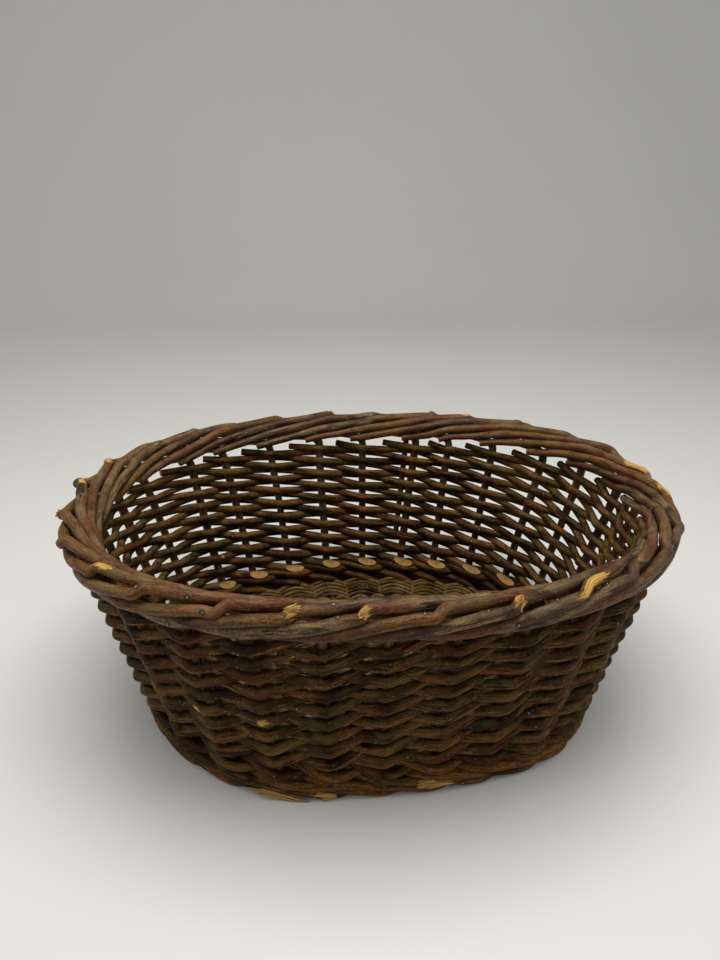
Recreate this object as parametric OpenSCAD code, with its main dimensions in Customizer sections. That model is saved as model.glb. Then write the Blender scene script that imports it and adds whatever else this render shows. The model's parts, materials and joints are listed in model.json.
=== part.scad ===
// Oval willow basket, woven from round rods. Every rod of the frame and of the side is a separate solid.
// Millimetres, +Z up, origin on the ground under the middle of the base, long axis along X.

/* [Oval] */
// Half depth of the wall's middle line where the border starts
rim_half = 145.2; // [135:0.1:155]
// Half depth of the wall's middle line at the foot of the stakes
foot_half = 120.6; // [112:0.1:126]
// Length of the oval over its depth
aspect = 1.373; // [1.25:0.001:1.5]

/* [Stakes and border] */
// Number of stakes, and of side rods
stakes = 28; // [24:4:28]
// Diameter of a stake
stake_d = 7; // [5:0.1:7.4]
// Height of the border's lower rods
border_z = 146.5; // [146:0.5:150]

/* [Side weave] */
// Diameter of a side rod
rod_d = 5.8; // [4:0.1:5.9]
// Height of the first row of the side weave
first_row_z = 28.4; // [28.4:0.1:30]
// Rise of a side rod from one stake to the next
row_pitch = 6.1; // [6:0.02:6.14]
// Stakes that one side rod passes
rows = 19; // [15:1:19]

/* [Upsett] */
// Diameter of the rods of the wale round the foot
wale_d = 4.8; // [4.6:0.1:4.8]
// Height of the wale's middle outside rod
wale_z = 8.8; // [8.8:0.1:9]
// Height of the pair of rods twisted round the stakes above the wale
pair_z = 22.8; // [22.7:0.1:22.9]

/* [Base] */
// Height of the base
base_h = 14; // [13:0.5:14.5]
// Number of rounds of base weave
rounds = 8; // [6:1:8]
// Distance from one round to the next
round_pitch = 11.5; // [10:0.1:11.5]
// Number of cross sticks
cross_sticks = 7; // [5:2:7]
// Distance from one cross stick to the next
cross_pitch = 17; // [12:1:17]
// Diameter of a cross stick
cross_d = 7; // [6:0.1:7.4]
// Number of long sticks
long_sticks = 3; // [2:1:3]
// Diameter of a long stick
long_d = 6; // [5:0.1:6]

/* [Hidden] */
end_arc = 0.93;              // radius of the oval's end arcs over its half depth
phase = -0.12;               // turn of the first stake from the +X end, in gaps between stakes
gap = 0.2;                   // clearance between rods that touch
foot_z = base_h / 2;         // height of the stakes' feet and of the base sticks
lean = (rim_half - foot_half) / (border_z - foot_z);
swing = (stake_d + rod_d) / 2 + 1.5 * gap;   // side rod's middle line to the wall's, at a stake
wale_swing = (stake_d + wale_d) / 2 + 3 * gap;
wale_step = wale_d + 5 * gap;
pair_rise = (wale_d + 2 * gap) / 2;   // of each of the pair over the other, where they cross between stakes
base_edge = -9.8;            // outer edge of the base weave, from the wall's middle line
round_w = round_pitch - 1;
foot_rounds = 2;             // rounds that the stakes' feet pass through
stick_end = base_edge - foot_rounds * round_pitch + 0.5;
foot_path = [[stick_end + 1, 0], [-9, 0], [-2.4, 1.4], [0, 5.5]];   // a stake's foot: [out, up from foot_z]
long_pitch = long_d + 0.6;
split_half_d = 3.6;            // each half of a cross stick, where it is split round the long sticks
split_half_w = (long_sticks - 1) / 2 * long_pitch + long_d / 2;   // half width that the split holds open
oval_steps = 60;             // corners on each outline of the base weave
bark = [0.36, 0.25, 0.17];
dark_bark = [0.27, 0.18, 0.13];
olive_bark = [0.38, 0.32, 0.2];
grey_bark = [0.45, 0.38, 0.31];

// The border's path over nearly six gaps: [gaps along, out from the wall's middle line, up from border_z].
// A stake bends out under the older ones, climbs the outside, kinks over the top and ends on the inside.
border_path = [[0, 0, -6], [0.12, 1.6, -4.4], [0.5, 6.2, -3.3], [1, 9.5, -1], [1.5, 10.6, 2.7], [2, 11, 6.5],
    [2.6, 10, 11], [3.05, 7, 15.1], [3.4, 4.4, 16.3], [4, 0, 17], [4.6, -5, 15.6], [5.2, -9, 11.8],
    [5.7, -10.8, 7]];

// A wale rod's path over four gaps: [gaps along, out in shares of its swing, up in shares of its step].
// It steps down the outside of three stakes, dives under the others and comes up inside the fourth.
wale_path = [[0, 1, 1], [1, 1, 0], [1.25, 1, -0.2], [2, 1, -1], [2.25, 0.6, -1], [2.5, 0, -0.9],
    [2.8, -0.8, 0.5], [3, -1, 1.03], [3.5, 0, 1.1], [3.75, 0.5, 1.12]];

function label(i) = str(i < 9 ? "0" : "", i + 1);
STAKES = [for (i = [0 : stakes - 1]) str("stake_", label(i))];
SIDE_RODS = [for (i = [0 : stakes - 1]) str("side_rod_", label(i))];

function unit(v) = v / norm(v);

// Point and outward normal of the oval of half depth h at a share of its perimeter from the +X end:
// [x, y, nx, ny]. Four arcs that meet smoothly, with equal lengths for equal shares.
function oval(share, h) = let(
    r = end_arc * h, c = aspect * h - r,
    drop = (c * c - (h - r) * (h - r)) / (2 * (h - r)),
    big = h + drop, turn = atan2(drop, c),
    end_len = r * turn * PI / 180, side_len = big * (90 - turn) * PI / 180,
    four = (share - floor(share)) * 4, q = floor(four),
    len = (q % 2 == 0 ? four - q : 1 - four + q) * (end_len + side_len),
    at_end = len < end_len,
    a = at_end ? len / r * 180 / PI : turn + (len - end_len) / big * 180 / PI,
    sx = q == 0 || q == 3 ? 1 : -1, sy = q < 2 ? 1 : -1)
    [sx * (at_end ? c + r * cos(a) : big * cos(a)), sy * (at_end ? r * sin(a) : big * sin(a) - drop),
     sx * cos(a), sy * sin(a)];

function half_at(z) = foot_half + lean * (z - foot_z);

// Point at a number of gaps round the wall, at height z and a distance out from its middle line
function wall(gaps, z, out) = let(o = oval((gaps + phase) / stakes, half_at(z)))
    [o[0] + out * o[2], o[1] + out * o[3], z];

// Outline of the oval at the stakes' feet, moved out by a distance
function outline(out) = [for (k = [0 : oval_steps - 1]) let(o = oval(k / oval_steps, foot_half))
    [o[0] + out * o[2], o[1] + out * o[3]]];

// Directions of a path at its points, and a side direction carried along it without twist
function heading(p) = let(last = len(p) - 1)
    [for (i = [0 : last]) unit(p[min(i + 1, last)] - p[max(i - 1, 0)])];
function square_to(v, t) = unit(v - (v * t) * t);
function carried(t, first) = [for (i = 0, s = square_to(first, t[0]); i < len(t);
    i = i + 1, s = i < len(t) ? square_to(s, t[i]) : s) s];

// A rod of the given number of sides along a path, its first corner towards a given direction
module rod(path, radius, sides, first) {
    t = heading(path);
    s = carried(t, first);
    n = len(path);
    corners = [for (i = [0 : n - 1]) for (k = [0 : sides - 1])
        path[i] + radius * (cos(360 * k / sides) * s[i] + sin(360 * k / sides) * cross(t[i], s[i]))];
    walls = [for (i = [0 : n - 2]) for (k = [0 : sides - 1]) let(m = (k + 1) % sides)
        [i * sides + k, (i + 1) * sides + k, (i + 1) * sides + m, i * sides + m]];
    start = [for (k = [0 : sides - 1]) k];
    end = [for (k = [sides - 1 : -1 : 0]) (n - 1) * sides + k];
    polyhedron(corners, concat([start, end], walls));
}

// A stake: its foot in the base, the upright, and its tail woven into the border
module stake(i) {
    foot = [for (f = foot_path) wall(i, foot_z + f[1], f[0])];
    tail = [for (b = border_path) wall(i + b[0], border_z + b[2], b[1])];
    color(grey_bark) rod(concat(foot, tail), stake_d / 2, 6, [0, 0, 1]);
}

// A side rod: inside and outside of one stake after another, climbing one row at each
module side_rod(i) {
    halves = 2 * (rows - 1);
    butt = wall(i - 0.3, first_row_z - 0.3 * row_pitch, -swing);
    weave = [for (k = [0 : halves]) wall(i + k / 2, first_row_z + k / 2 * row_pitch, -swing * cos(90 * k))];
    color([bark, dark_bark, olive_bark][i % 3]) rod(concat([butt], weave), rod_d / 2, 4, [0, 0, 1]);
}

// The four rods of the wale at the foot, and the pair of rods above it
module upsett_wale() {
    color(dark_bark) {
        for (m = [0 : 3])
            rod([for (turn = [0 : stakes / 4 - 1]) for (c = wale_path)
                wall(m + 4 * turn + c[0], wale_z + wale_step * c[2], wale_swing * c[1])],
                wale_d / 2, 4, [0, 0, 1]);
        for (m = [0, 1])
            rod([for (k = [0 : 4 * stakes - 2])
                wall(m + k / 4, pair_z - pair_rise * sin(45 * k), wale_swing * cos(45 * k))],
                wale_d / 2, 4, [0, 0, 1]);
    }
}

module across(y, d) { translate([0, y, foot_z]) rotate([0, 90, 0]) cylinder(d = d, h = 400, center = true, $fn = 32); }
module along(x, d) { translate([x, 0, foot_z]) rotate([90, 0, 0]) cylinder(d = d, h = 300, center = true, $fn = 32); }
module all_long(d) { for (k = [0 : long_sticks - 1]) across((k - (long_sticks - 1) / 2) * long_pitch, d); }
module all_cross(d) { for (k = [0 : cross_sticks - 1]) along((k - (cross_sticks - 1) / 2) * cross_pitch, d); }

// The part of a set of sticks that lies within the ring of the stakes' feet
module cut_to_base() {
    intersection() {
        children();
        linear_extrude(base_h) polygon(outline(stick_end));
    }
}

// Long sticks, threaded through the cross sticks
module base_sticks_long() { color(bark) cut_to_base() all_long(long_d); }

// One half of a cross stick's split middle, bowed over (up = 1) or under (up = -1) the long sticks
module split_half(x, up) {
    rise = up * ((long_d + split_half_d) / 2 + gap);
    root = up * (cross_d - split_half_d) / 2 * 0.9;
    bow = [[-split_half_w - 2.5, root], [-split_half_w + 0.5, rise], [split_half_w - 0.5, rise],
        [split_half_w + 2.5, root]];
    rod([for (b = bow) [x, b[0], foot_z + b[1]]], split_half_d / 2, 8, [1, 0, 0]);
}

// Cross sticks, each split in its middle for the long sticks
module base_sticks_cross() {
    color(grey_bark) {
        difference() {
            cut_to_base() all_cross(cross_d);
            translate([-200, -split_half_w - 1.5, 0]) cube([400, 2 * split_half_w + 3, base_h]);
        }
        for (k = [0 : cross_sticks - 1], up = [-1, 1]) split_half((k - (cross_sticks - 1) / 2) * cross_pitch, up);
    }
}

// One oval round of the base weave
module base_round(k) {
    outer = base_edge - k * round_pitch;
    linear_extrude(base_h) difference() {
        polygon(outline(outer));
        polygon(outline(outer - round_w));
    }
}

// Hole in the outer rounds for a stake's foot
module foot_hole(i) {
    o = oval((i + phase) / stakes, foot_half);
    translate([o[0], o[1], foot_z]) rotate([0, 0, atan2(o[3], o[2])]) rotate([0, -90, 0])
        cylinder(d = stake_d + gap, h = -stick_end - 0.4, $fn = 24);
}

// The rounds woven round the sticks, with the stakes' feet pushed in beside them
module base_weave() {
    color(dark_bark) {
        difference() {
            for (k = [0 : foot_rounds - 1]) base_round(k);
            for (i = [0 : stakes - 1]) foot_hole(i);
        }
        difference() {
            for (k = [foot_rounds : rounds - 1]) base_round(k);
            all_cross(cross_d + gap);
            all_long(long_d + gap);
        }
    }
}

base_sticks_long();
base_sticks_cross();
base_weave();
upsett_wale();
for (i = [0 : stakes - 1]) stake(i);
for (i = [0 : stakes - 1]) side_rod(i);
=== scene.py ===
import json
import math

import bpy
import numpy as np
from mathutils import Matrix, Vector


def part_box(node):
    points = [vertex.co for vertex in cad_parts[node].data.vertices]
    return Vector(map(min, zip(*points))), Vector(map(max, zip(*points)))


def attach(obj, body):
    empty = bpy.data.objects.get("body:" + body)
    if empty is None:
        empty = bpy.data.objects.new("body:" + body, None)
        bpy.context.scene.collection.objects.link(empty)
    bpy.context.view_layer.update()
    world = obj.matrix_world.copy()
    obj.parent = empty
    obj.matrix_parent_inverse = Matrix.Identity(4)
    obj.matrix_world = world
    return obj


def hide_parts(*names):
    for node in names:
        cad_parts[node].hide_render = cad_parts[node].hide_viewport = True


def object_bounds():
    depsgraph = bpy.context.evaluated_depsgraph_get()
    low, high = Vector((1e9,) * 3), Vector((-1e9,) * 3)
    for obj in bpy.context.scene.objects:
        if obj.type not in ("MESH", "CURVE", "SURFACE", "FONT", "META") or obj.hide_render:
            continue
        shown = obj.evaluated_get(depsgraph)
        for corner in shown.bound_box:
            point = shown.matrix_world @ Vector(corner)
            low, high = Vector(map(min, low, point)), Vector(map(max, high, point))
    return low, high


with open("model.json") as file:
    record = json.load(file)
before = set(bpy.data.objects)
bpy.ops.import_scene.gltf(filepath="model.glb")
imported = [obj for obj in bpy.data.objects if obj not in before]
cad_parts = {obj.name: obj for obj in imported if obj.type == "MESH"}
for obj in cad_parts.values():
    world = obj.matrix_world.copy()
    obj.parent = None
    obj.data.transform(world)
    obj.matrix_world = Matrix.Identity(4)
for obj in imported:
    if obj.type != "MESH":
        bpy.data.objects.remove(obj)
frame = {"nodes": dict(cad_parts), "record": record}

CAD_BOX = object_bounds()
MM = 0.001


def box_mm(name):
    """Lowest and highest corner of a CAD node, in millimetres."""
    low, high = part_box(name)
    return np.array(low) / MM, np.array(high) / MM


# ---- Sizes, from the frame -------------------------------------------------------------------
STAKES = sorted(n for n in frame["nodes"] if n.startswith("stake_"))
SIDE_RODS = sorted(n for n in frame["nodes"] if n.startswith("side_rod_"))
COUNT = len(STAKES)
END_ARC = 0.93          # radius of the oval's end arcs over its half depth
PHASE = -0.12           # turn of stake 1 from the +X end, in gaps
BASE_EDGE = 9.8         # from the wall's middle line in to the edge of the base weave
BORDER_OUT = 15.6       # from the wall's middle line out to the border's outermost point
BORDER_TOP = 20.2       # from the border's lower rods up to its top
BASE_X, BASE_Y, BASE_H = box_mm("base_weave")[1]
FOOT_Z = BASE_H / 2
FOOT_HALF = BASE_Y + BASE_EDGE
ASPECT = (BASE_X + BASE_EDGE) / FOOT_HALF
RIM_HALF = CAD_BOX[1].y / MM - BORDER_OUT
BORDER_Z = CAD_BOX[1].z / MM - BORDER_TOP
LEAN = (RIM_HALF - FOOT_HALF) / (BORDER_Z - FOOT_Z)
GAP_MM = 33.0           # a gap between stakes at mid height, used where a length is only rough
STAKE_R = 3.35
TAIL_R = 3.62           # stakes are thicker where they lie in the border
ROD_BUTT_R, ROD_R, ROD_TIP_R = 3.65, 3.3, 2.85
SWING = 6.5             # side rod's middle line from the wall's, at a stake
FIRST_ROW_Z = 28.4
ROW_PITCH = 6.1
ROWS = 18               # gaps from the first stake that a side rod passes to the last
BUTT_GAPS, TIP_GAPS = 0.38, 0.62    # how far its two ends reach past those stakes
SLYPE = 18.0            # length over which its slanted butt cut runs
WALE_R = 2.95
WALE_SWING, WALE_STEP, WALE_Z = 6.4, 5.8, 8.8
PAIR_Z, PAIR_RISE = 22.8, 2.6
STRAND_R = 1.75         # base weavers
CROSS_R, CROSS_HALF_R, LONG_R = 3.45, 1.8, 2.95     # base sticks, and the cross sticks' split halves
STEP = 1.7              # distance between a rod's rings
FLOOR = 0.05            # lowest height of any skin


# ---- The wall's own lines --------------------------------------------------------------------
def oval(share, half):
    """Points and outward normals of the oval at shares of its perimeter from the +X end."""
    r = END_ARC * half
    c = ASPECT * half - r
    drop = (c * c - (half - r) ** 2) / (2 * (half - r))
    big, turn = half + drop, np.arctan2(drop, c)
    end_len, side_len = r * turn, big * (math.pi / 2 - turn)
    four = (share - np.floor(share)) * 4
    q = np.floor(four)
    length = np.where(q % 2 == 0, four - q, 1 - four + q) * (end_len + side_len)
    at_end = length < end_len
    a = np.where(at_end, length / r, turn + (length - end_len) / big)
    sx = np.where((q == 0) | (q == 3), 1.0, -1.0)
    sy = np.where(q < 2, 1.0, -1.0)
    x = np.where(at_end, c + r * np.cos(a), big * np.cos(a))
    y = np.where(at_end, r * np.sin(a), big * np.sin(a) - drop)
    return sx * x, sy * y, sx * np.cos(a), sy * np.sin(a)


def eased(values, at):
    """Smooth curve through values[0], values[1], ... at positions 0, 1, ..."""
    k = np.clip(np.floor(at).astype(int), 0, len(values) - 2)
    f = np.clip(at - k, 0, 1)
    f = f * f * (3 - 2 * f)
    return values[k] * (1 - f) + values[k + 1] * f


def round_the_wall(seed, amount):
    """One random value a stake, closed into a ring."""
    v = np.random.default_rng(seed).uniform(-amount, amount, COUNT)
    return np.append(v, v[0])


SHIFT, PUSH, RAISE = round_the_wall(1, 0.07), round_the_wall(2, 0.9), round_the_wall(3, 0.9)
for stake, shift in ((1, -0.25), (2, -0.17), (3, -0.22), (6, -0.26), (9, 0.14), (10, 0.22), (12, 0.2)):
    SHIFT[stake] = shift    # stakes of the back wall that stand off their even places
# Dents and bulges: gaps round the wall, reach in gaps, out at the foot, out at the rim, up at the rim
DENTS = [(20.9, 2.5, -1.0, -3.2, 1.4), (19.0, 1.1, 4.5, 0.0, 0.0), (24.7, 1.3, 3.0, -2.5, 0.8),
         (17.6, 1.2, 0.0, -1.5, 0.5)]


def wall(gaps, z, out):
    """Points at gaps round the wall, height z and distance out, on a wall that is a little uneven."""
    lift = np.clip((z - BASE_H) / (BORDER_Z - BASE_H), 0, 1)
    ring = np.mod(gaps, COUNT)
    gaps = gaps + eased(SHIFT, ring) * (0.25 + 0.75 * lift)
    out = out + eased(PUSH, ring) * lift
    z = z + eased(RAISE, ring) * lift
    for at, reach, foot, rim, up in DENTS:
        dent = np.exp(-((ring - at) / reach) ** 2)
        out = out + dent * (foot * (1 - lift) + rim * lift)
        z = z + dent * up * lift
    x, y, nx, ny = oval((gaps + PHASE) / COUNT, FOOT_HALF + LEAN * (z - FOOT_Z))
    return np.stack([x + out * nx, y + out * ny, z], axis=-1)


def curve(points, step=STEP):
    """Dense smooth line through (gaps, z, out) points, rounded at each of them."""
    p = np.asarray(points, float) * [GAP_MM, 1, 1]
    p = np.vstack([2 * p[0] - p[1], p, 2 * p[-1] - p[-2]])
    at = np.concatenate([[0], np.cumsum(np.linalg.norm(np.diff(p, axis=0), axis=1) ** 0.5)])
    stretches = []
    for k in range(1, len(p) - 2):
        n = max(2, int(np.linalg.norm(p[k + 1] - p[k]) / step))
        t = np.linspace(at[k], at[k + 1], n, endpoint=k == len(p) - 3)[:, None]
        a = [((at[k + j + 1] - t) * p[k + j] + (t - at[k + j]) * p[k + j + 1])
             / (at[k + j + 1] - at[k + j]) for j in (-1, 0, 1)]
        b = [((at[k + j + 2] - t) * a[j + 1] + (t - at[k + j]) * a[j + 2])
             / (at[k + j + 2] - at[k + j]) for j in (-1, 0)]
        stretches.append(((at[k + 1] - t) * b[0] + (t - at[k]) * b[1]) / (at[k + 1] - at[k]))
    return np.vstack(stretches) / [GAP_MM, 1, 1]


def resample(path, step=STEP):
    """The same line with its points an even step apart, and the length run at each point."""
    run = np.concatenate([[0], np.cumsum(np.linalg.norm(np.diff(path, axis=0), axis=1))])
    n = max(4, int(run[-1] / step))
    at = np.linspace(0, run[-1], n + 1)
    return np.stack([np.interp(at, run, path[:, k]) for k in range(3)], axis=-1), at


def wander(rng, at, amount, wave):
    """Smooth random curve along a length."""
    v = rng.uniform(-amount, amount, int(at[-1] / wave) + 3)
    return eased(v, at / wave + 0.5)


def unit(v):
    """Vectors of length one in the same directions."""
    return v / np.maximum(np.linalg.norm(v, axis=-1, keepdims=True), 1e-9)


# ---- Rods ------------------------------------------------------------------------------------
class Shape:
    """Vertices, faces and attributes of a piece, gathered rod by rod."""

    def __init__(self):
        self.points, self.faces, self.slots, self.marks, self.count = [], [], [], [], 0

    def add(self, points, quads, slot, marks):
        """marks: one row a vertex of grain x, y, z, tint, peel, knot, core."""
        self.points.append(points)
        self.faces += [tuple(int(v) + self.count for v in f) for f in quads]
        self.slots += [slot] * len(quads)
        self.marks.append(marks)
        self.count += len(points)

    def piece(self, name, materials, cad_nodes, slot):
        """The finished object, riding on the body and standing for its CAD nodes."""
        mesh = bpy.data.meshes.new(name)
        mesh.from_pydata(np.vstack(self.points) * MM, [], self.faces)
        marks = np.vstack(self.marks).astype(np.float32)
        mesh.attributes.new("grain", "FLOAT_VECTOR", "POINT").data.foreach_set("vector", marks[:, :3].ravel())
        for k, key in enumerate(("tint", "peel", "knot", "core")):
            mesh.attributes.new(key, "FLOAT", "POINT").data.foreach_set("value", marks[:, 3 + k].copy())
        mesh.polygons.foreach_set("material_index", np.array(self.slots, np.int32))
        mesh.polygons.foreach_set("use_smooth", np.ones(len(self.faces), bool))
        for m in materials:
            mesh.materials.append(m)
        mesh.update()
        thing = bpy.data.objects.new(name, mesh)
        bpy.context.scene.collection.objects.link(thing)
        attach(thing, "root")
        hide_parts(*cad_nodes)
        return thing


def carried(path, first):
    """Headings along a path, and two side directions carried along it without twist."""
    t = unit(np.gradient(path, axis=0))
    s = np.empty_like(t)
    v = np.array(first, float)
    for k, d in enumerate(t):
        v = v - v.dot(d) * d
        v /= math.sqrt(v.dot(v))
        s[k] = v
    return t, s, np.cross(t, s)


def knots_on(rng, length):
    """Bud scars along a rod: where, at what angle, how big."""
    at, found = rng.uniform(8, 40), []
    while at < length - 6:
        found.append((at, rng.uniform(0, 2 * math.pi), rng.uniform(0.25, 0.6)))
        at += rng.uniform(28, 75)
    return found


def near_spot(at, angle, where, side, half, spread):
    """How near each point of a rod's skin is to a spot on it, from 0 to 1."""
    along = (at - where)[:, None]
    across = np.mod(angle - side + math.pi, 2 * math.pi) - math.pi
    return np.exp(-(along / half) ** 2 - (across / spread) ** 2)


def uneven(radius, at, angle, rng):
    """Radius at each point of the skin: tapered, a little lumpy and out of round."""
    size = np.interp(at / at[-1], np.linspace(0, 1, len(radius)), radius)
    size = size * (1 + wander(rng, at, 0.035, 18))
    full = size[:, None] * np.ones(len(angle))
    for harmonic in (2, 3):
        turned = wander(rng, at, math.pi, 60)[:, None]
        full = full * (1 + 0.025 * np.cos(harmonic * angle + turned))
    return full


def slanted(at, angle, side_way, other_way, slype):
    """Length run at each point of the skin, drawn back at the butt so that the end is cut on a slant."""
    run = at[:, None] + np.zeros(len(angle))
    if not slype:
        return run
    facing = np.arctan2(other_way.dot(slype[1]), side_way.dot(slype[1]))
    cut = slype[0] * (0.5 + 0.5 * np.cos(angle - facing))
    reach = slype[0] * 1.5
    return np.where(run < reach, cut + run * (reach - cut) / reach, run)


def rod(shape, path, radius, rng, tint, sides=14, first=(0, 0, 1), slype=None, peels=(), wobble=0.3):
    """Adds a rod of natural roundness along a path in millimetres.
    radius: its size at points spread evenly over its length. slype: (length, direction that the
    slanted butt cut faces). peels: (share of the length, half length, angle, strength) of lost bark."""
    path, at = resample(path)
    length = at[-1]
    calm_ends = np.clip(np.minimum(at, length - at) / 12, 0, 1)[:, None]
    path = path + calm_ends * np.stack([wander(rng, at, wobble, 26) for _ in range(3)], axis=-1)
    t, s, b = carried(path, first)
    angle = np.arange(sides) * 2 * math.pi / sides
    full = uneven(radius, at, angle, rng)
    scar_spread = 1.5 / full.mean()
    knot, peel = np.zeros_like(full), np.zeros_like(full)
    for where, side, big in knots_on(rng, length):
        full = full + big * near_spot(at, angle, where, side, 4.5, 1.3)
        knot = np.maximum(knot, near_spot(at, angle, where, side, 1.5, scar_spread))
    for share, half, side, strength in peels:
        peel = np.maximum(peel, strength * near_spot(at, angle, share * length, side, half, 0.9))
    full = full - 0.25 * np.clip(peel * 2 - 0.7, 0, 1)
    run = slanted(at, angle, s[0], b[0], slype)
    centre, side_s, side_b = (np.stack([np.interp(run, at, line[:, k]) for k in range(3)], axis=-1)
                              for line in (path, s, b))
    cos, sin = np.cos(angle)[:, None], np.sin(angle)[:, None]
    skin = centre + full[..., None] * (cos * side_s + sin * side_b)
    skin[..., 2] = np.maximum(skin[..., 2], FLOOR)
    offset = rng.uniform(0, 4000)
    tints = tint + wander(rng, at, 0.06, 70)[:, None] + np.zeros(sides)
    marks = np.stack([run + offset, full * np.cos(angle), full * np.sin(angle), tints, peel, knot,
                      np.ones_like(run)], axis=-1)
    shape.add(skin.reshape(-1, 3), tube_faces(len(path), sides), 0, marks.reshape(-1, 7))
    for end in (0, -1):
        add_cut(shape, skin[end], marks[end], t[end] * (1 if end else -1), rng, end == 0)


def tube_faces(rings, sides):
    """Quads between rings of vertices."""
    a = np.arange(sides)
    b = (a + 1) % sides
    return [quad for k in range(0, (rings - 1) * sides, sides)
            for quad in zip(k + a, k + b, k + sides + b, k + sides + a)]


def add_cut(shape, edge, marks, facing, rng, at_start):
    """Closes a rod's end with its own cut face, a little rough, inside the ring of its edge."""
    sides = len(edge)
    middle = edge.mean(0)
    rings, rows = [edge], [marks]
    for share in (0.9, 0.5):
        rough = rng.uniform(-0.12, 0.12, sides)[:, None] * facing * share
        rings.append(middle + (edge - middle) * share + rough)
        row = marks.copy()
        row[:, 1:3] *= share
        row[:, 6] = share
        rows.append(row)
    centre = marks.mean(0)
    centre[1:3], centre[6] = 0, 0
    points = np.vstack(rings + [middle[None]])
    faces = tube_faces(3, sides)
    faces += [(2 * sides + a, 2 * sides + (a + 1) % sides, 3 * sides) for a in range(sides)]
    if at_start:
        faces = [f[::-1] for f in faces]
    shape.add(points, faces, 1, np.vstack(rows + [centre[None]]))


def splinters(shape, root, along, out, count, length, spread, rng, wide=(0.35, 0.9), curl=0.35):
    """A tuft of pale split fibres that a broken rod throws up along its own direction."""
    side = unit(np.cross(along, out))
    for _ in range(count):
        forward = rng.choice([-1, 1], p=[0.3, 0.7])
        lift, drift = rng.uniform(0.0, spread), rng.uniform(-spread, spread) * 0.5
        way = unit(along * forward + out * lift + side * drift)
        size = length * rng.uniform(0.35, 1.0)
        steps = np.linspace(0, 1, 6)[:, None]
        start = root + side * rng.uniform(-2.4, 2.4) + out * rng.uniform(-0.5, 0.5)
        start = start - along * forward * rng.uniform(0, 0.5) * length
        bend = out * rng.uniform(-curl, curl) + side * rng.uniform(-curl, curl) * 0.6
        line = start + way * size * steps + bend * size * steps ** 2
        line[:, 2] = np.maximum(line[:, 2], 1.2)
        breadth, thick = rng.uniform(*wide), rng.uniform(0.25, 0.45)
        taper = np.sqrt(1.02 - steps ** 2)
        heading = unit(np.gradient(line, axis=0))
        across = unit(np.cross(heading, out + 0.3 * side))
        up = np.cross(across, heading)
        skin = np.stack([line + breadth * taper * across * a + thick * taper * up * b
                         for a, b in ((1, 0), (0, 1), (-1, 0), (0, -1))], axis=1)
        skin[..., 2] = np.maximum(skin[..., 2], FLOOR)
        quads = tube_faces(6, 4) + [(3, 2, 1, 0), (20, 21, 22, 23)]
        marks = np.zeros((24, 7))
        marks[:, 0] = np.repeat(steps[:, 0] * size, 4) + rng.uniform(0, 900)
        marks[:, 1:3] = np.tile([[1, 0], [0, 1], [-1, 0], [0, -1]], (6, 1)) * breadth
        marks[:, 6] = 0.5
        shape.add(skin.reshape(-1, 3), quads, 2, marks)


# ---- Materials -------------------------------------------------------------------------------
class Nodes:
    """A material's node tree, built by short calls."""

    def __init__(self, name):
        self.material = bpy.data.materials.new(name)
        self.material.use_nodes = True
        self.tree = self.material.node_tree
        self.tree.nodes.clear()
        self.shader = self.add("BsdfPrincipled")
        output = self.add("OutputMaterial")
        self.tree.links.new(self.shader.outputs[0], output.inputs["Surface"])

    def add(self, kind, inputs=None, **settings):
        """A node, its settings, and its inputs from values or from other nodes' sockets."""
        made = self.tree.nodes.new("ShaderNode" + kind)
        for key, value in settings.items():
            setattr(made, key, value)
        for key, value in (inputs or {}).items():
            self.put(made.inputs[key], value)
        return made

    def put(self, socket, value):
        """Feeds a socket from another node's socket, or sets its value."""
        if isinstance(value, bpy.types.NodeSocket):
            self.tree.links.new(value, socket)
        else:
            socket.default_value = value

    def mark(self, name, vector=False):
        """One of the attributes that Shape.piece writes on each vertex."""
        made = self.add("Attribute", attribute_name=name)
        return made.outputs["Vector" if vector else "Fac"]

    def scaled(self, vector, by):
        """A vector stretched along its three axes."""
        return self.add("VectorMath", {0: vector, 1: by}, operation="MULTIPLY").outputs[0]

    def noise(self, vector, scale, detail=3.0, rough=0.55):
        """Noise from 0 to 1, mostly near its middle."""
        return self.add("TexNoise", {"Vector": vector, "Scale": scale, "Detail": detail,
                                     "Roughness": rough}).outputs["Fac"]

    def math(self, operation, a, b=0.0, clamp=False):
        """One arithmetic step on values or sockets."""
        return self.add("Math", {0: a, 1: b}, operation=operation, use_clamp=clamp).outputs[0]

    def fit(self, value, low, high, to_low=0.0, to_high=1.0):
        """The value's range low to high, mapped onto another and held within it."""
        return self.add("MapRange", {"Value": value, "From Min": low, "From Max": high,
                                     "To Min": to_low, "To Max": to_high}).outputs[0]

    def ramp(self, value, colours):
        """Colours evenly spaced from value 0 to value 1."""
        made = self.add("ValToRGB", {"Fac": value})
        line = made.color_ramp.elements
        for _ in colours[2:]:
            line.new(1.0)
        for k, colour in enumerate(colours):
            line[k].position = k / (len(colours) - 1)
        for k, colour in enumerate(colours):
            line[k].color = (*colour, 1)
        return made.outputs["Color"]

    def mix(self, share, a, b, how="MIX"):
        """Colour a with a share of colour b laid over it, or multiplied into it."""
        made = self.add("Mix", data_type="RGBA", blend_type=how)
        self.put(made.inputs["Factor"], share)
        for socket, value in ((made.inputs[6], a), (made.inputs[7], b)):
            self.put(socket, value if isinstance(value, bpy.types.NodeSocket) else (*value, 1))
        return made.outputs[2]

    def finish(self, colour, rough, height, depth):
        """Colour, roughness and a bump of that depth in metres onto the shader."""
        bump = self.add("Bump", {"Height": height, "Strength": 1.0, "Distance": depth})
        self.put(self.shader.inputs["Base Color"], colour)
        self.put(self.shader.inputs["Roughness"], rough)
        self.put(self.shader.inputs["Normal"], bump.outputs[0])
        return self.material


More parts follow.
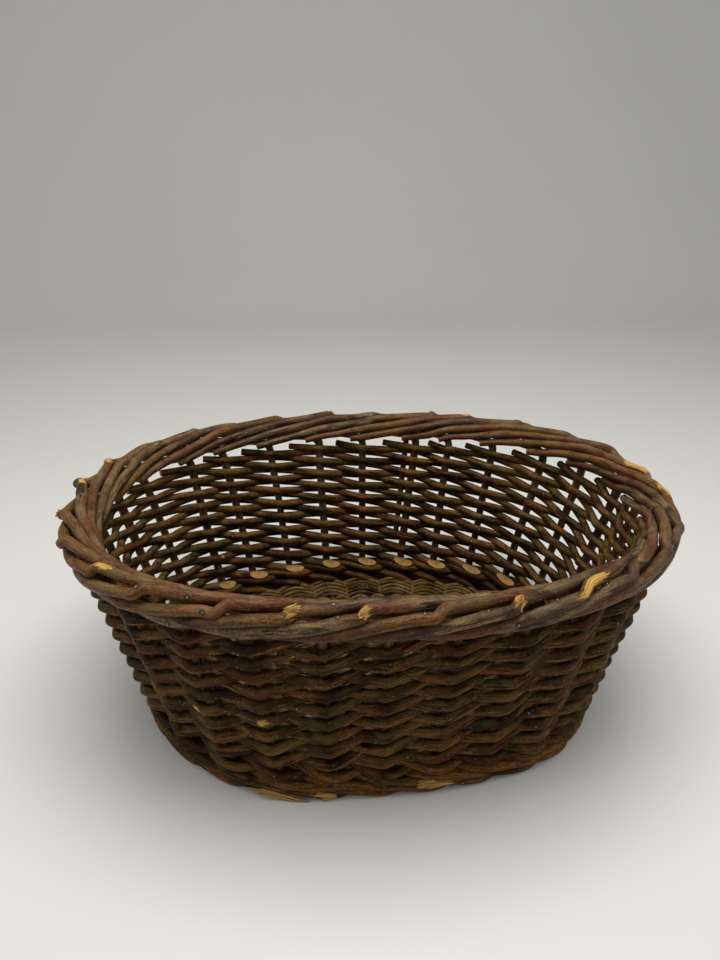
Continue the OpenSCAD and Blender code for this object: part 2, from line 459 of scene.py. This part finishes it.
def pale_wood(n, grain):
    """Colour of split or peeled willow: straw to ochre, streaked along the grain."""
    streaks = n.noise(n.scaled(grain, (0.05, 1.6, 1.6)), 1.0, 4.0, 0.6)
    return n.ramp(n.fit(streaks, 0.3, 0.7), [OCHRE, STRAW, PALE_STRAW])


def mottled(n, grain, place, streaks, shades):
    """Shades that change from rod to rod, along each rod and in streaks."""
    patches = n.noise(place, 22.0, 2.0)
    lengths = n.noise(n.scaled(grain, (0.02, 0.12, 0.12)), 1.0, 2.0)
    shade = n.math("ADD", n.mark("tint"), n.fit(patches, 0.35, 0.65, -0.2, 0.2))
    shade = n.math("ADD", shade, n.fit(lengths, 0.35, 0.65, -0.2, 0.2))
    shade = n.math("ADD", shade, n.fit(streaks, 0.3, 0.7, -0.12, 0.12), clamp=True)
    return n.ramp(shade, shades)


def shaded(n, colour, value, low, high, dark, light):
    """The colour darkened where a value is low and lightened where it is high."""
    return n.mix(1.0, colour, n.ramp(n.fit(value, low, high), [dark, light]), "MULTIPLY")


def dust_and_painted_highlight(n, colour, place, dust_and_highlight_share):
    """Pale weathered dust on upward faces, which also serves as a painted highlight along the rods' tops."""
    # Paler where faces turn up: partly dust, partly a painted highlight where the top light falls.
    up = n.add("SeparateXYZ", {0: n.add("NewGeometry").outputs["Normal"]}).outputs["Z"]
    dust_and_highlight_mask = n.math("MULTIPLY", n.fit(up, 0.1, 1.0), n.fit(n.noise(place, 70.0, 4.0), 0.42, 0.62))
    return n.mix(n.math("MULTIPLY", dust_and_highlight_mask, dust_and_highlight_share), colour, DUST_AND_HIGHLIGHT)


def pores_of(n, grain):
    """Small pale pores, scattered: 1 on a pore and 0 beside it."""
    pores = n.add("TexVoronoi", {"Vector": n.scaled(grain, (0.22, 0.34, 0.34)), "Scale": 1.0}).outputs
    some = n.math("GREATER_THAN", n.add("SeparateXYZ", {0: pores["Color"]}).outputs["X"], 0.55)
    return n.math("MULTIPLY", n.fit(pores["Distance"], 0.2, 0.1), some)


def scarred(n, colour):
    """Bud scars: a dark ring round a pale middle."""
    knot = n.mark("knot")
    colour = n.mix(n.fit(knot, 0.12, 0.45), colour, SCAR_EDGE)
    return n.mix(n.fit(knot, 0.6, 0.85), colour, SCAR)


def peeled(n, colour, grain):
    """Where the bark is lost, pale wood with a dark edge; with how bare each point is."""
    ragged = n.noise(n.scaled(grain, (0.14, 0.9, 0.9)), 1.0, 5.0, 0.75)
    worn = n.math("ADD", n.mark("peel"), n.fit(ragged, 0.35, 0.65, -0.32, 0.32))
    bare = n.fit(worn, 0.42, 0.5)
    colour = n.mix(n.math("MULTIPLY", n.fit(worn, 0.34, 0.44), 0.6), colour, INNER_BARK)
    return n.mix(bare, colour, pale_wood(n, grain)), bare


def bark(name, shades, dust_and_highlight_share, rough_low=0.42, rough_high=0.66, shine=0.08):
    """Unpeeled willow, buffed by age: mottled shades, fine streaks, pores, scars and worn spots.
    Its third argument: how much pale dust, and painted highlight with it, lies on upward faces."""
    n = Nodes(name)
    grain, place = n.mark("grain", True), n.add("TexCoord").outputs["Object"]
    streaks = n.noise(n.scaled(grain, (0.11, 0.8, 0.8)), 1.0, 5.0, 0.7)
    fine = n.noise(n.scaled(grain, (0.7, 1.3, 1.3)), 1.0, 5.0, 0.75)
    colour = mottled(n, grain, place, streaks, shades)
    colour = shaded(n, colour, streaks, 0.34, 0.66, (0.28, 0.24, 0.2), (1.6, 1.5, 1.35))
    colour = shaded(n, colour, fine, 0.36, 0.64, (0.3, 0.26, 0.2), (2.1, 2.0, 1.75))
    # Paler upward faces: dust and a painted top highlight.
    colour = dust_and_painted_highlight(n, colour, place, dust_and_highlight_share)
    pore = pores_of(n, grain)
    colour = scarred(n, n.mix(n.math("MULTIPLY", pore, 0.45), colour, PORE))
    colour, bare = peeled(n, colour, grain)
    height = n.math("ADD", n.math("MULTIPLY", streaks, 0.5), n.math("MULTIPLY", fine, 0.3))
    height = n.math("ADD", height, n.math("MULTIPLY", pore, 0.2))
    height = n.math("SUBTRACT", height, n.math("MULTIPLY", bare, 0.5))
    rough = n.fit(n.noise(place, 90.0, 3.0), 0.3, 0.7, rough_low, rough_high)
    rough = n.math("ADD", rough, n.math("MULTIPLY", bare, 0.25))
    n.shader.inputs["Specular IOR Level"].default_value = shine
    return n.finish(colour, rough, height, 0.0005)


def cut_wood(name, tone):
    """A knife-cut end: growth rings round a small pith, a thin dark edge of bark."""
    n = Nodes(name)
    grain, core = n.mark("grain", True), n.mark("core")
    wavy = n.math("ADD", core, n.math("MULTIPLY", n.noise(grain, 0.5), 0.12))
    rings = n.math("SINE", n.math("MULTIPLY", wavy, 22.0))
    base = n.mix(n.fit(rings, -1.0, 1.0, 0.0, 0.28), pale_wood(n, grain), RING)
    place = n.add("TexCoord").outputs["Object"]
    aged = n.mix(n.fit(n.noise(place, 40.0, 3.0), 0.35, 0.65, 0.0, tone), base, AGED)
    pith = n.mix(n.fit(core, 0.14, 0.04), aged, PITH)
    colour = n.mix(n.fit(core, 0.9, 0.97), pith, RIND)
    height = n.math("ADD", rings, n.math("MULTIPLY", n.noise(grain, 2.2, 4.0), 2.0))
    return n.finish(colour, n.fit(n.noise(grain, 1.2), 0.3, 0.7, 0.62, 0.85), height, 0.00012)


def split_wood():
    """Torn fibres, paler and rougher than a cut."""
    n = Nodes("split_wood")
    grain = n.mark("grain", True)
    fine = n.noise(n.scaled(grain, (0.1, 3.0, 3.0)), 1.0, 4.0, 0.7)
    colour = n.mix(n.fit(fine, 0.42, 0.62, 0.0, 0.6), pale_wood(n, grain), TORN)
    return n.finish(colour, n.fit(fine, 0.2, 0.8, 0.7, 0.9), fine, 0.0003)


UMBER, MAROON, WINE = (0.0175, 0.0092, 0.0034), (0.062, 0.0215, 0.0105), (0.08, 0.03, 0.014)
RUSSET, OLIVE, GREY = (0.112, 0.046, 0.013), (0.078, 0.05, 0.0125), (0.13, 0.092, 0.05)
OCHRE, STRAW, PALE_STRAW = (0.27, 0.12, 0.022), (0.5, 0.275, 0.06), (0.64, 0.42, 0.135)
# The first colour on the next line is pale dust that also serves as a painted highlight on upward faces.
DUST_AND_HIGHLIGHT, PORE, INNER_BARK = (0.215, 0.155, 0.07), (0.27, 0.185, 0.11), (0.05, 0.026, 0.014)
SCAR_EDGE, SCAR = (0.028, 0.018, 0.013), (0.42, 0.27, 0.1)
RING, AGED, PITH = (0.3, 0.16, 0.06), (0.12, 0.075, 0.045), (0.13, 0.07, 0.035)
RIND, TORN = (0.06, 0.032, 0.02), (0.16, 0.075, 0.02)
PAPER_DARK, PAPER_LIGHT = (0.74, 0.735, 0.7), (0.79, 0.785, 0.755)
WARM, COOL = (1.0, 0.975, 0.93), (0.98, 0.98, 1.0)
SPLIT = split_wood()
CUT = cut_wood("cut_ends", 0.25)
OLD_CUT = cut_wood("weathered_ends", 0.95)
# The number after each palette is its share of pale dust and painted top highlight on upward faces; the
# border has the most.
BORDER_BARK = bark("border_bark", [WINE, RUSSET, OLIVE, MAROON, UMBER, GREY, WINE], 0.4, 0.36, 0.58, 0.2)
SIDE_BARK = bark("side_bark", [UMBER, RUSSET, OLIVE, UMBER, OLIVE, MAROON, UMBER, OLIVE], 0.32)
FOOT_BARK = bark("foot_bark", [UMBER, MAROON, UMBER, OLIVE, RUSSET], 0.12)
BASE_BARK = bark("base_bark", [UMBER, OLIVE, GREY, RUSSET], 0.3)
SIDE_SET = [SIDE_BARK, CUT, SPLIT]
BORDER_SET = [BORDER_BARK, OLD_CUT, SPLIT]
FOOT_SET = [FOOT_BARK, OLD_CUT, SPLIT]
BASE_SET = [BASE_BARK, CUT, SPLIT]


# ---- Side rods -------------------------------------------------------------------------------
STRAIGHTNESS = 0.88     # share of straight runs in a side rod's swing; the rest is a smooth wave


def make_side_rods():
    """Each rod starts inside with a slanted cut and climbs a row a stake: inside, outside, inside.
    It bends sharply round the stakes and runs nearly straight between them."""
    rng = np.random.default_rng(11)
    extra = rng.normal(0, 0.2, COUNT)
    extra -= extra.mean()
    for i, node in enumerate(SIDE_RODS):
        t = np.arange(-BUTT_GAPS, ROWS + TIP_GAPS, 0.02)
        lifts = np.cumsum([0.5 * extra[i]] + [extra[(i + k) % COUNT] for k in range(1, ROWS + 2)])
        straight = 2 * np.abs(np.mod(t, 2) - 1) - 1
        out = -SWING * ((1 - STRAIGHTNESS) * np.cos(math.pi * t)
                        + STRAIGHTNESS * np.clip(straight * 1.04, -1, 1))
        out = np.where(t < 0, -SWING + 2.6 * t, out)
        up = np.clip(t, -0.12, None)
        z = FIRST_ROW_Z + ROW_PITCH * (up + 0.08 * up * (1 - up / ROWS))
        z = z + eased(lifts, np.clip(t, 0, None))
        path = wall(i + t, z - LEAN * out, out)
        size = np.interp(np.linspace(t[0], t[-1], 120), [-0.4, 0.4, 2, ROWS],
                         [ROD_BUTT_R, ROD_R + 0.1, ROD_R, ROD_TIP_R]) + extra[i] / 2
        inward = path[0] - wall(np.array([i - BUTT_GAPS]), z[:1], np.array([10.0]))[0]
        facing = unit(unit(inward) + [0, 0, 0.8])
        shape = Shape()
        peels = [(rng.uniform(0.03, 0.97), rng.uniform(1, 5), rng.uniform(0, 2 * math.pi), 0.8)
                 for _ in range(rng.integers(0, 3))]
        rod(shape, path, size, rng, rng.uniform(0.0, 1.0), slype=(SLYPE, facing), peels=peels, wobble=0.35)
        shape.piece(f"weaver_{i + 1:02d}", SIDE_SET, [node], record_slot(node))


def record_slot(node):
    """The material slot that the record gives a CAD node."""
    for part in find_parts(frame["record"]):
        if part.get("node") == node:
            return part["material_slot"]


def find_parts(value):
    """Every record entry that names a node and its material slot."""
    if isinstance(value, dict):
        if "node" in value and "material_slot" in value:
            yield value
        value = list(value.values())
    if isinstance(value, list):
        for item in value:
            yield from find_parts(item)


# ---- Stakes and border -----------------------------------------------------------------------
# A stake's tail over a little more than six gaps: gaps along, out from the wall's middle line, and
# up from BORDER_Z.
TAIL = [(0, 0, -12), (0, 0, -5.5), (0.04, 0.8, -2.2), (0.16, 3.0, 0.0), (0.4, 6.2, 0.8), (1, 9.5, 3.2),
        (1.5, 10.3, 6.9), (2, 9.6, 10.7), (2.4, 8.3, 13.2), (2.57, 7.9, 14.0), (2.62, 7.0, 14.8),
        (2.69, 3.9, 17.0), (2.76, 3.1, 17.2), (3.2, 1.0, 17.2), (3.6, -1.4, 17.0), (4.0, -4.0, 15.6),
        (4.5, -6.4, 13.0), (5, -7.6, 10.2), (5.5, -7.8, 6.6), (5.95, -7.6, 3.4), (6.3, -7.2, 1.4)]
ELBOW = 2.65            # gaps along the tail to the kink where it hops over to the top lane
# Stakes counted from 0: torn at the elbow, with the fibres' length; bark lost there, with half the
# length of the bare spot; elbows that stand proud, and how far.
BURST = {5: 4.5, 12: 4.5, 17: 7.0, 18: 5.5, 20: 6.5}
PEELED = {2: 6.0, 10: 3.0, 11: 3.5, 14: 8.0, 21: 15.0, 25: 9.0, 26: 13.0}
KINKED = {10: 3.5, 11: 4.5, 12: 3.5, 13: 4.0, 15: 2.5, 26: 2.5, 27: 3.0}
FOOT = [(-31, 0), (-9, 0), (-2.4, 1.4), (0, 5.5)]      # a stake's foot: out, up from FOOT_Z


def stake_line(i, rng):
    """A stake from its foot in the base, up the wall and along the border."""
    foot = [(i, FOOT_Z + up, out) for out, up in FOOT]
    upright = [(i, z, 0) for z in np.linspace(FOOT_Z + 14, BORDER_Z - 22, 6)]
    late, high = rng.uniform(-0.1, 0.1), rng.uniform(0, 1)
    tail = []
    for along, out, up in TAIL:
        moved = late * math.exp(-((along - ELBOW) / 0.8) ** 2)
        loose = rng.uniform(-0.5, 0.5, 2) if along > 0.4 else (0, 0)
        proud = max(2.2 * high, KINKED.get(i, 0)) * math.exp(-((along - ELBOW) / 0.2) ** 2)
        tail.append((i + along + moved, BORDER_Z + up + loose[0] + proud * 0.5, out + loose[1] + proud))
    g, z, out = curve(foot + upright + tail).T
    return wall(g, z, out)


def elbow_place(path, i):
    """Share of a stake's length at its elbow, with the point, heading and outward side there."""
    target = wall(np.array([i + ELBOW]), np.array([BORDER_Z + 15.5]), np.array([6.0]))[0]
    k = int(np.argmin(np.linalg.norm(path - target, axis=1)))
    run = np.concatenate([[0], np.cumsum(np.linalg.norm(np.diff(path, axis=0), axis=1))])
    _, _, nx, ny = oval(np.array([(i + ELBOW + PHASE) / COUNT]), RIM_HALF)
    out = unit(np.array([nx[0], ny[0], 1.0]))
    return run[k] / run[-1], path[k], unit(path[k + 3] - path[k - 3]), out


def make_stakes():
    """The stakes, which also are the border: some torn, peeled or kinked at the elbow."""
    rng = np.random.default_rng(23)
    for i, node in enumerate(STAKES):
        path = stake_line(i, rng)
        share, point, heading, out = elbow_place(path, i)
        shape = Shape()
        size = np.interp(np.linspace(0, 1, 80), [0, 0.4, 0.55, share - 0.04, share, share + 0.04, 1],
                         [STAKE_R, STAKE_R, TAIL_R, TAIL_R, TAIL_R * 0.93, TAIL_R * 1.02, TAIL_R * 0.86])
        peels = []
        if i in PEELED:
            peels.append((share + 0.4 * PEELED[i] / 360, PEELED[i], rng.uniform(1.2, 2.2), 1.1))
        if i in BURST:
            peels.append((share, 4.0, 1.6, 1.0))
            splinters(shape, point + out * (TAIL_R - 0.9), heading, out, 22, BURST[i], 0.55, rng)
        rod(shape, path, size * rng.uniform(0.94, 1.05), rng, rng.uniform(0.0, 1.0), sides=16, peels=peels,
            wobble=0.3)
        shape.piece(f"stake_rod_{i + 1:02d}", BORDER_SET, [node], record_slot(node))


def make_doubled_stake():
    """A second, thinner rod pushed in beside one stake of the back wall."""
    rng = np.random.default_rng(29)
    heights = np.linspace(52, BORDER_Z + 2, 40)
    path = wall(np.full(len(heights), 6.2), heights, np.zeros(len(heights)))
    shape = Shape()
    rod(shape, path, [2.3, 2.6, 2.5], rng, 0.55, sides=12, first=(1, 0, 0), wobble=0.2)
    shape.piece("doubled_stake", SIDE_SET, [], "stake")


# ---- Foot wale -------------------------------------------------------------------------------
# One wale rod over four gaps: gaps along, and shares of WALE_SWING out and of WALE_STEP up.
WALE = [(0, 1, 1), (0.5, 1.05, 0.6), (1, 1, 0.05), (1.5, 1.05, -0.45), (2, 1, -0.95), (2.3, 0.55, -1.02),
        (2.55, 0, -0.8), (2.8, -0.75, 0.3), (3, -1, 0.98), (3.4, -0.1, 1.1), (3.7, 0.55, 1.12)]


def make_wale():
    """Four rods that follow each other round: outside three stakes, inside the fourth."""
    rng = np.random.default_rng(31)
    for m in range(4):
        points = [(m + 4 * turn + g, WALE_Z + WALE_STEP * up, WALE_SWING * out)
                  for turn in range(COUNT // 4) for g, out, up in WALE]
        g, z, out = curve(points).T
        shape = Shape()
        rod(shape, wall(g, z, out), [WALE_R * 1.04, WALE_R], rng, rng.uniform(0.2, 0.9), sides=12, wobble=0.2)
        if m == 1:
            tear_foot(shape, rng)
        nodes = ["upsett_wale"] if m == 0 else []
        shape.piece(f"foot_wale_{m + 1}", FOOT_SET, nodes, "upsett")


def tear_foot(shape, rng):
    """Pale fibres of a lowest rod that has split along the front."""
    for gaps, up, fall, length, count in ((18.8, 7.0, 4.5, 25.0, 26), (19.7, 5.0, 1.5, 12.0, 16),
                                          (21.8, 11.0, -2.0, 26.0, 7)):
        at = wall(gaps + np.array([0, 0.6]), np.array([up, up - fall]), np.full(2, WALE_SWING + WALE_R))
        along = unit(at[1] - at[0])
        out = unit(np.cross(along, [0, 0, 1]) + [0, 0, 0.2])
        splinters(shape, at[0] + along * 6, along, out, count, length, 0.06, rng, (1.1, 2.6), 0.03)


def make_pair():
    """The pair of rods above the wale, twisted once round each other in two gaps."""
    rng = np.random.default_rng(37)
    for m in (0, 1):
        t = np.arange(0, COUNT - 0.4, 0.04)
        out, z = WALE_SWING * np.cos(math.pi * t), PAIR_Z - PAIR_RISE * np.sin(math.pi * t)
        shape = Shape()
        path = wall(m + t, z - LEAN * out, out)
        rod(shape, path, [WALE_R * 1.16, WALE_R * 1.06], rng, rng.uniform(0.2, 0.9), sides=12, wobble=0.25)
        shape.piece(f"upsett_pair_{m + 1}", FOOT_SET, [], "upsett")


# ---- Base ------------------------------------------------------------------------------------
FEET_REACH = 23         # how far in from the base's edge the stakes' feet are the spokes
HALF_TWIST = 0.055      # about the longest half twist of the strands, as a share of the perimeter
CROSS_X = [(k - 3) * 17.0 for k in range(7)]
LONG_Y = [(k - 1) * 6.6 for k in range(3)]
SPLIT_AT = 9.6          # half length of the split in a cross stick
SIDEWAYS = 1.5          # how far a base strand swings to each side as it twists round its partner


def crossings(inset, places, axis):
    """Shares of the perimeter at which straight sticks at those places cross a round that far in."""
    share = np.linspace(0, 1, 2401)
    x, y, nx, ny = oval(share, FOOT_HALF)
    ring = (x - inset * nx, y - inset * ny)[axis]
    found = []
    for place in places:
        side = ring - place
        found += list(share[:-1][side[:-1] * side[1:] < 0])
    return found


def make_base_weave():
    """Pairs of thin strands, twisted between the spokes, round after round."""
    rng = np.random.default_rng(47)
    rounds, first_inset = 18, 5.4
    inner_half, low = 13.5, STRAND_R + 0.2      # half depth inside the last round; lowest middle line
    pitch = (FOOT_HALF - first_inset - inner_half) / (rounds - 0.5)
    share = np.linspace(0, 1, int(10 + 2.2 * FOOT_HALF * 7.2 / STEP))
    x, y, nx, ny = oval(share, FOOT_HALF)
    for r in range(rounds):
        inset = first_inset + r * pitch
        spokes = spokes_at(inset)
        shape = Shape()
        for strand in (0, 1):
            phase = math.pi * (np.interp(share, spokes, np.arange(len(spokes))) + strand + r)
            z = FOOT_Z + (BASE_H / 2 - low) * np.cos(phase)
            inward = inset - SIDEWAYS * np.sin(phase)
            path = np.stack([x - inward * nx, y - inward * ny, z], axis=-1)
            rod(shape, path, [STRAND_R], rng, rng.uniform(0.1, 0.9), sides=8, wobble=0.15)
        nodes = ["base_weave"] if r == 0 else []
        shape.piece(f"base_round_{r + 1:02d}", BASE_SET, nodes, "base_weaver")


def spokes_at(inset):
    """Shares of the perimeter, from 0 to 1, where a round that far in passes a spoke.
    Wide spaces between spokes are shared out, so that the strands' twist stays even."""
    if inset < BASE_EDGE + FEET_REACH:
        found = [((i + PHASE) / COUNT) % 1 for i in range(COUNT)]
    else:
        found = crossings(inset, CROSS_X, 0) + crossings(inset, LONG_Y, 1)
    found = sorted(found)
    ends = [found[-1] - 1] + found + [found[0] + 1]
    count = [0]
    for a, b in zip(ends, ends[1:]):
        count.append(count[-1] + max(1, round((b - a) / HALF_TWIST)))
    return np.interp(np.arange(count[-1] + 1), count, ends)


def make_sticks():
    """Seven cross sticks, split in the middle for the three long sticks that run through them."""
    rng = np.random.default_rng(53)
    cross, long = Shape(), Shape()
    low, high = box_mm("base_sticks_long")
    for x in CROSS_X:
        reach = stick_reach(x)
        for end in (-1, 1):
            path = dense([(x, end * y, FOOT_Z) for y in (SPLIT_AT + 1.5, 40.0, reach)])
            rod(cross, path, [CROSS_R], rng, rng.uniform(0.3, 1), first=(1, 0, 0), wobble=0.15)
            bow = dense([(x, y, FOOT_Z + end * up) for y, up in
                         ((-SPLIT_AT - 2.5, 1.5), (-SPLIT_AT + 0.5, 4.9), (0, 5.05),
                          (SPLIT_AT - 0.5, 4.9), (SPLIT_AT + 2.5, 1.5))])
            rod(cross, bow, [CROSS_HALF_R], rng, rng.uniform(0.3, 1), 10, (1, 0, 0), wobble=0.05)
    for y in LONG_Y:
        path = dense([(x, y, FOOT_Z) for x in (low[0] + 0.5, 0, high[0] - 0.5)])
        rod(long, path, [LONG_R], rng, rng.uniform(0.3, 1), wobble=0.12)
    cross.piece("cross_stick_rods", BASE_SET, ["base_sticks_cross"], "base_stick")
    long.piece("long_stick_rods", BASE_SET, ["base_sticks_long"], "base_stick")


def dense(corners):
    """A straight-edged line with its points an even step apart."""
    return resample(np.array(corners))[0]


def stick_reach(x):
    """Half length of the cross stick at x, from the CAD sticks' own ends."""
    co = np.array([v.co for v in frame["nodes"]["base_sticks_cross"].data.vertices]) / MM
    near = co[np.abs(co[:, 0] - x) < 4]
    return near[:, 1].max() - 0.6


# ---- Stage -----------------------------------------------------------------------------------
def make_stage():
    """A plain pale floor that curves up into a backdrop."""
    n = Nodes("sweep")
    place = n.add("TexCoord").outputs["Object"]
    colour = n.mix(n.noise(place, 3.0), PAPER_DARK, PAPER_LIGHT)
    n.finish(colour, 0.55, n.noise(place, 40.0), 0.00005)
    bend, far, top, near, half_width = 0.5, 1.7, 1.9, -1.9, 2.4
    turn = np.linspace(0, math.pi / 2, 14)
    line = [(near, 0.0)] + [(far - bend + bend * math.sin(a), bend - bend * math.cos(a)) for a in turn]
    line += [(far, top)]
    points = [(x, y, z) for y, z in line for x in (-half_width, half_width)]
    faces = [(2 * k, 2 * k + 1, 2 * k + 3, 2 * k + 2) for k in range(len(line) - 1)]
    mesh = bpy.data.meshes.new("sweep")
    mesh.from_pydata(points, [], faces)
    mesh.polygons.foreach_set("use_smooth", np.ones(len(faces), bool))
    mesh.materials.append(n.material)
    floor = bpy.data.objects.new("sweep", mesh)
    bpy.context.scene.collection.objects.link(floor)


def add_light(name, place, aim, size, power, colour):
    """A soft panel: where it is and aims, in metres, its size and its power in watts."""
    data = bpy.data.lights.new(name, "AREA")
    data.shape, data.size, data.size_y = "RECTANGLE", size[0], size[1]
    data.energy, data.color = power, colour
    lamp = bpy.data.objects.new(name, data)
    lamp.location = place
    lamp.rotation_euler = (Vector(aim) - Vector(place)).to_track_quat("-Z", "Y").to_euler()
    bpy.context.scene.collection.objects.link(lamp)


def make_light():
    """A light box: a strong panel above, a weak one on each side, and a dim even surround."""
    add_light("top_panel", (0.0, -0.05, 1.0), (0, 0, 0), (0.8, 0.6), 8.0, WARM)
    add_light("left_panel", (-0.9, -0.3, 0.5), (0, 0, 0.05), (0.6, 0.7), 1.2, COOL)
    add_light("right_panel", (0.9, -0.3, 0.5), (0, 0, 0.05), (0.6, 0.7), 1.2, COOL)
    world = bpy.data.worlds.new("studio")
    world.use_nodes = True
    surround = world.node_tree.nodes["Background"].inputs
    surround["Color"].default_value = (0.93, 0.93, 0.92, 1)
    surround["Strength"].default_value = 0.4
    bpy.context.scene.world = world
    bpy.context.scene.view_settings.view_transform = "Standard"


def make_camera():
    """A short lens at the front, a little to the left, looking down onto the basket."""
    data = bpy.data.cameras.new("camera")
    data.lens, data.sensor_width = 27.0, 36.0
    eye = bpy.data.objects.new("camera", data)
    eye.location = (-0.0526, -0.4634, 0.3935)
    turned = [Matrix.Rotation(math.radians(angle), 3, axis)
              for angle, axis in ((-5.26, "Z"), (90 - 25.5, "X"), (0.62, "Z"))]
    eye.rotation_euler = (turned[0] @ turned[1] @ turned[2]).to_euler()
    bpy.context.scene.collection.objects.link(eye)
    bpy.context.scene.camera = eye


make_side_rods()
make_stakes()
make_doubled_stake()
make_wale()
make_pair()
make_base_weave()
make_sticks()
make_stage()
make_light()
make_camera()
